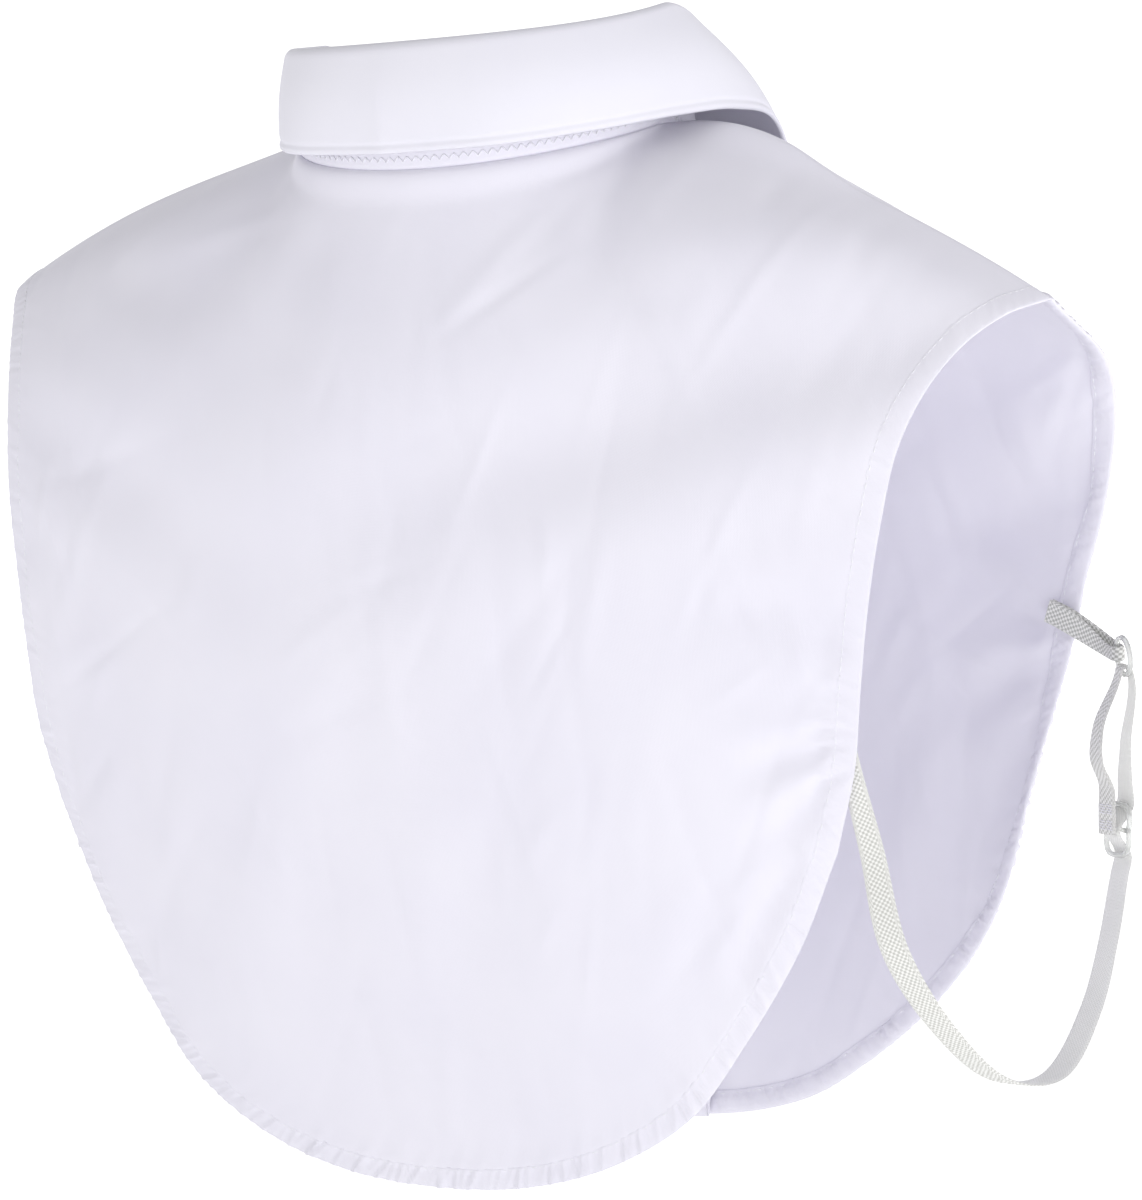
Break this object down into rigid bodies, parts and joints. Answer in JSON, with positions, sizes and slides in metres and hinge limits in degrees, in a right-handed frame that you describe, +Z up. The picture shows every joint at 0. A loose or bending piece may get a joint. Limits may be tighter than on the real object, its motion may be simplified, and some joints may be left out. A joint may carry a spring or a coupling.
{
  "type": "detachable shirt collar",
  "caption": "Detachable shirt collar with a folded pointed collar on a stand, a rounded back panel, lapped buttoned fronts and adjustable elastic side straps.",
  "frame": {"origin": "centre of the neck base: on the middle plane, between the two side neck points", "axes": "+Z up as worn, -Y towards the wearer's front, +X towards the wearer's left"},
  "size_m": [0.3774, 0.2104, 0.3885],
  "materials": {
    "white_poplin": "plain woven cotton poplin, matte, cool white",
    "white_poplin_stiffened": "poplin with a stiffened middle layer, matte, cool white",
    "white_elastic": "ribbed woven elastic, matte, warm white",
    "clear_plastic": "milky translucent plastic, smooth",
    "white_button": "white button, satin gloss"
  },
  "bodies": {
    "root": {"back_panel": "white_poplin", "front_right": "white_poplin", "front_left": "white_poplin", "collar_stand": "white_poplin_stiffened", "collar_fall": "white_poplin_stiffened", "button_stand": "white_button", "button_front_1": "white_button", "button_front_2": "white_button", "button_front_3": "white_button", "button_front_4": "white_button", "strap_right": "white_elastic", "strap_left": "white_elastic", "strap_tab_right": "white_elastic", "strap_tab_left": "white_elastic", "ring_right": "clear_plastic", "ring_left": "clear_plastic", "slider_right": "clear_plastic", "slider_left": "clear_plastic"}
  },
  "joints": []
}
